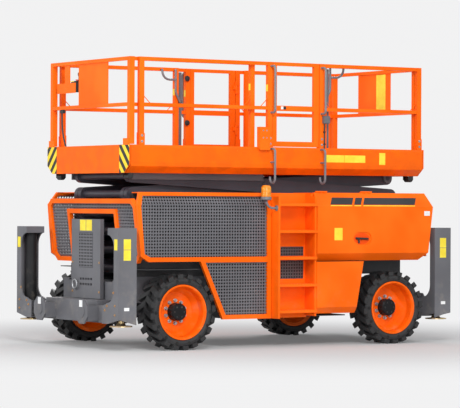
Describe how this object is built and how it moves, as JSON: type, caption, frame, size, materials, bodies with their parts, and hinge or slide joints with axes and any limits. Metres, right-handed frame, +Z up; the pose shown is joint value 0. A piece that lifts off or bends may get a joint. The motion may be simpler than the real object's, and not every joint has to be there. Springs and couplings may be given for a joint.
{
  "type": "scissor lift",
  "caption": "Rough-terrain scissor lift: railed platform with roll-out decks on a stacked arm mechanism, lugged tyres, corner stabiliser legs, mesh body sides, ladders and a beacon.",
  "frame": {"origin": "on the ground under the middle of the machine", "axes": "+X points to the front, the steered end, +Y to the left side, +Z up"},
  "size_m": [4.67, 2.3695, 3.233],
  "materials": {
    "orange": "gloss orange paint",
    "dark_grey": "satin dark grey paint",
    "arm_grey": "satin blue grey paint",
    "tyre": "black rubber",
    "black": "black paint",
    "zinc": "yellow zinc plating",
    "steel": "grey steel",
    "amber": "amber lens"
  },
  "bodies": {
    "chassis": {"chassis_frame": "dark_grey", "axles": "arm_grey", "stabiliser_frames": "dark_grey", "leg_cylinders": "black", "body_frame": "orange", "grilles": "dark_grey", "ladders": "orange", "rear_panels": "orange", "front_cover": "dark_grey", "side_trays": "dark_grey", "engine": "arm_grey", "beacon": "amber"},
    "knuckle_left": {"knuckle_left": "arm_grey"},
    "knuckle_right": {"knuckle_right": "arm_grey"},
    "wheel_front_left": {"tyre_front_left": "tyre", "rim_front_left": "orange"},
    "wheel_front_right": {"tyre_front_right": "tyre", "rim_front_right": "orange"},
    "wheel_rear_left": {"tyre_rear_left": "tyre", "rim_rear_left": "orange"},
    "wheel_rear_right": {"tyre_rear_right": "tyre", "rim_rear_right": "orange"},
    "leg_front_left": {"leg_front_left": "zinc"},
    "leg_front_right": {"leg_front_right": "zinc"},
    "leg_rear_left": {"leg_rear_left": "zinc"},
    "leg_rear_right": {"leg_rear_right": "zinc"},
    "outer_1": {"outer_arms_1": "arm_grey"},
    "inner_1": {"inner_arms_1": "arm_grey"},
    "outer_2": {"outer_arms_2": "arm_grey"},
    "inner_2": {"inner_arms_2": "arm_grey"},
    "outer_3": {"outer_arms_3": "arm_grey"},
    "inner_3": {"inner_arms_3": "arm_grey"},
    "outer_4": {"outer_arms_4": "arm_grey"},
    "inner_4": {"inner_arms_4": "arm_grey"},
    "outer_5": {"outer_arms_5": "arm_grey"},
    "inner_5": {"inner_arms_5": "arm_grey"},
    "lift_barrel": {"lift_barrel": "arm_grey"},
    "lift_rod": {"lift_rod": "steel"},
    "platform": {"platform_deck": "orange", "platform_frame": "dark_grey", "side_rails_left": "orange", "side_rails_right": "orange", "grab_handles": "steel"},
    "front_extension": {"front_deck": "orange", "front_rails": "orange", "control_box": "black", "control_cable": "black"},
    "rear_extension": {"rear_deck": "orange", "rear_rails": "orange"},
    "gate_left": {"gate_left": "orange"},
    "rear_cover_left": {"rear_cover_left": "orange"},
    "gate_right": {"gate_right": "orange"},
    "rear_cover_right": {"rear_cover_right": "orange"}
  },
  "joints": [
    {"name": "steer_left", "type": "hinge", "parent": "chassis", "child": "knuckle_left", "pos_m": [1.43, 0.87, 0.419], "axis": [0, 0, 1], "range_deg": [-25, 25]},
    {"name": "steer_right", "type": "hinge", "parent": "chassis", "child": "knuckle_right", "pos_m": [1.43, -0.87, 0.419], "axis": [0, 0, 1], "range_deg": [-26, 26]},
    {"name": "spin_front_left", "type": "hinge", "parent": "knuckle_left", "child": "wheel_front_left", "pos_m": [1.43, 1.026, 0.419], "axis": [0, 1, 0], "continuous": true},
    {"name": "spin_front_right", "type": "hinge", "parent": "knuckle_right", "child": "wheel_front_right", "pos_m": [1.43, -1.026, 0.419], "axis": [0, 1, 0], "continuous": true},
    {"name": "spin_rear_left", "type": "hinge", "parent": "chassis", "child": "wheel_rear_left", "pos_m": [-1.43, 1.026, 0.419], "axis": [0, 1, 0], "continuous": true},
    {"name": "spin_rear_right", "type": "hinge", "parent": "chassis", "child": "wheel_rear_right", "pos_m": [-1.43, -1.026, 0.419], "axis": [0, 1, 0], "continuous": true},
    {"name": "leg_slide_front_left", "type": "slide", "parent": "chassis", "child": "leg_front_left", "axis": [0, 0, -1], "range_m": [0, 0.45]},
    {"name": "leg_slide_front_right", "type": "slide", "parent": "chassis", "child": "leg_front_right", "axis": [0, 0, -1], "range_m": [0, 0.45]},
    {"name": "leg_slide_rear_left", "type": "slide", "parent": "chassis", "child": "leg_rear_left", "axis": [0, 0, -1], "range_m": [0, 0.45]},
    {"name": "leg_slide_rear_right", "type": "slide", "parent": "chassis", "child": "leg_rear_right", "axis": [0, 0, -1], "range_m": [0, 0.45]},
    {"name": "scissor_lift", "type": "hinge", "parent": "chassis", "child": "outer_1", "pos_m": [-1.8, 0, 0.88], "axis": [0, -1, 0], "range_deg": [0, 54]},
    {"name": "inner_pivot_1", "type": "hinge", "parent": "outer_1", "child": "inner_1", "pos_m": [-0.0275, 0, 0.985], "axis": [0, -1, 0], "range_deg": [-109, 0.5]},
    {"name": "outer_pivot_2", "type": "hinge", "parent": "inner_1", "child": "outer_2", "pos_m": [-1.8, 0, 1.09], "axis": [0, -1, 0], "range_deg": [-0.5, 109]},
    {"name": "inner_pivot_2", "type": "hinge", "parent": "outer_2", "child": "inner_2", "pos_m": [-0.0275, 0, 1.195], "axis": [0, -1, 0], "range_deg": [-109, 0.5]},
    {"name": "outer_pivot_3", "type": "hinge", "parent": "inner_2", "child": "outer_3", "pos_m": [-1.8, 0, 1.3], "axis": [0, -1, 0], "range_deg": [-0.5, 109]},
    {"name": "inner_pivot_3", "type": "hinge", "parent": "outer_3", "child": "inner_3", "pos_m": [-0.0275, 0, 1.405], "axis": [0, -1, 0], "range_deg": [-109, 0.5]},
    {"name": "outer_pivot_4", "type": "hinge", "parent": "inner_3", "child": "outer_4", "pos_m": [-1.8, 0, 1.51], "axis": [0, -1, 0], "range_deg": [-0.5, 109]},
    {"name": "inner_pivot_4", "type": "hinge", "parent": "outer_4", "child": "inner_4", "pos_m": [-0.0275, 0, 1.615], "axis": [0, -1, 0], "range_deg": [-109, 0.5]},
    {"name": "outer_pivot_5", "type": "hinge", "parent": "inner_4", "child": "outer_5", "pos_m": [-1.8, 0, 1.72], "axis": [0, -1, 0], "range_deg": [-0.5, 109]},
    {"name": "inner_pivot_5", "type": "hinge", "parent": "outer_5", "child": "inner_5", "pos_m": [-0.0275, 0, 1.825], "axis": [0, -1, 0], "range_deg": [-109, 0.5]},
    {"name": "platform_level", "type": "hinge", "parent": "inner_5", "child": "platform", "pos_m": [-1.8, 0, 1.93], "axis": [0, -1, 0], "range_deg": [-0.5, 55]},
    {"name": "lift_barrel_pivot", "type": "hinge", "parent": "inner_2", "child": "lift_barrel", "pos_m": [-0.75063, 0, 1.23784], "axis": [0, -1, 0], "range_deg": [-0.5, 117.2]},
    {"name": "lift_rod_slide", "type": "slide", "parent": "lift_barrel", "child": "lift_rod", "axis": [0.9959, 0, 0.0906], "range_m": [-0.002, 0.5646]},
    {"name": "front_extension_slide", "type": "slide", "parent": "platform", "child": "front_extension", "axis": [1, 0, 0], "range_m": [0, 1.2]},
    {"name": "rear_extension_slide", "type": "slide", "parent": "platform", "child": "rear_extension", "axis": [-1, 0, 0], "range_m": [0, 0.9]},
    {"name": "gate_left_hinge", "type": "hinge", "parent": "platform", "child": "gate_left", "pos_m": [-0.5485, 0.86, 2.6], "axis": [0, 0, -1], "range_deg": [0, 90]},
    {"name": "gate_right_hinge", "type": "hinge", "parent": "platform", "child": "gate_right", "pos_m": [-0.5485, -0.86, 2.6], "axis": [0, 0, 1], "range_deg": [0, 90]},
    {"name": "rear_cover_left_hinge", "type": "hinge", "parent": "chassis", "child": "rear_cover_left", "pos_m": [-1.15, 1.0645, 1.759], "axis": [1, 0, 0], "range_deg": [0, 75]},
    {"name": "rear_cover_right_hinge", "type": "hinge", "parent": "chassis", "child": "rear_cover_right", "pos_m": [-1.15, -1.0645, 1.759], "axis": [-1, 0, 0], "range_deg": [0, 75]}
  ],
  "couplings": [
    {"joint": "steer_right", "follows": "steer_left", "ratio": 1},
    {"joint": "inner_pivot_1", "follows": "scissor_lift", "ratio": -2},
    {"joint": "outer_pivot_2", "follows": "scissor_lift", "ratio": 2},
    {"joint": "inner_pivot_2", "follows": "scissor_lift", "ratio": -2},
    {"joint": "outer_pivot_3", "follows": "scissor_lift", "ratio": 2},
    {"joint": "inner_pivot_3", "follows": "scissor_lift", "ratio": -2},
    {"joint": "outer_pivot_4", "follows": "scissor_lift", "ratio": 2},
    {"joint": "inner_pivot_4", "follows": "scissor_lift", "ratio": -2},
    {"joint": "outer_pivot_5", "follows": "scissor_lift", "ratio": 2},
    {"joint": "inner_pivot_5", "follows": "scissor_lift", "ratio": -2},
    {"joint": "platform_level", "follows": "scissor_lift", "ratio": 1},
    {"joint": "lift_barrel_pivot", "follows": "scissor_lift", "ratio": 2.1517},
    {"joint": "lift_rod_slide", "follows": "scissor_lift", "m_per_rad": 0.59371}
  ]
}
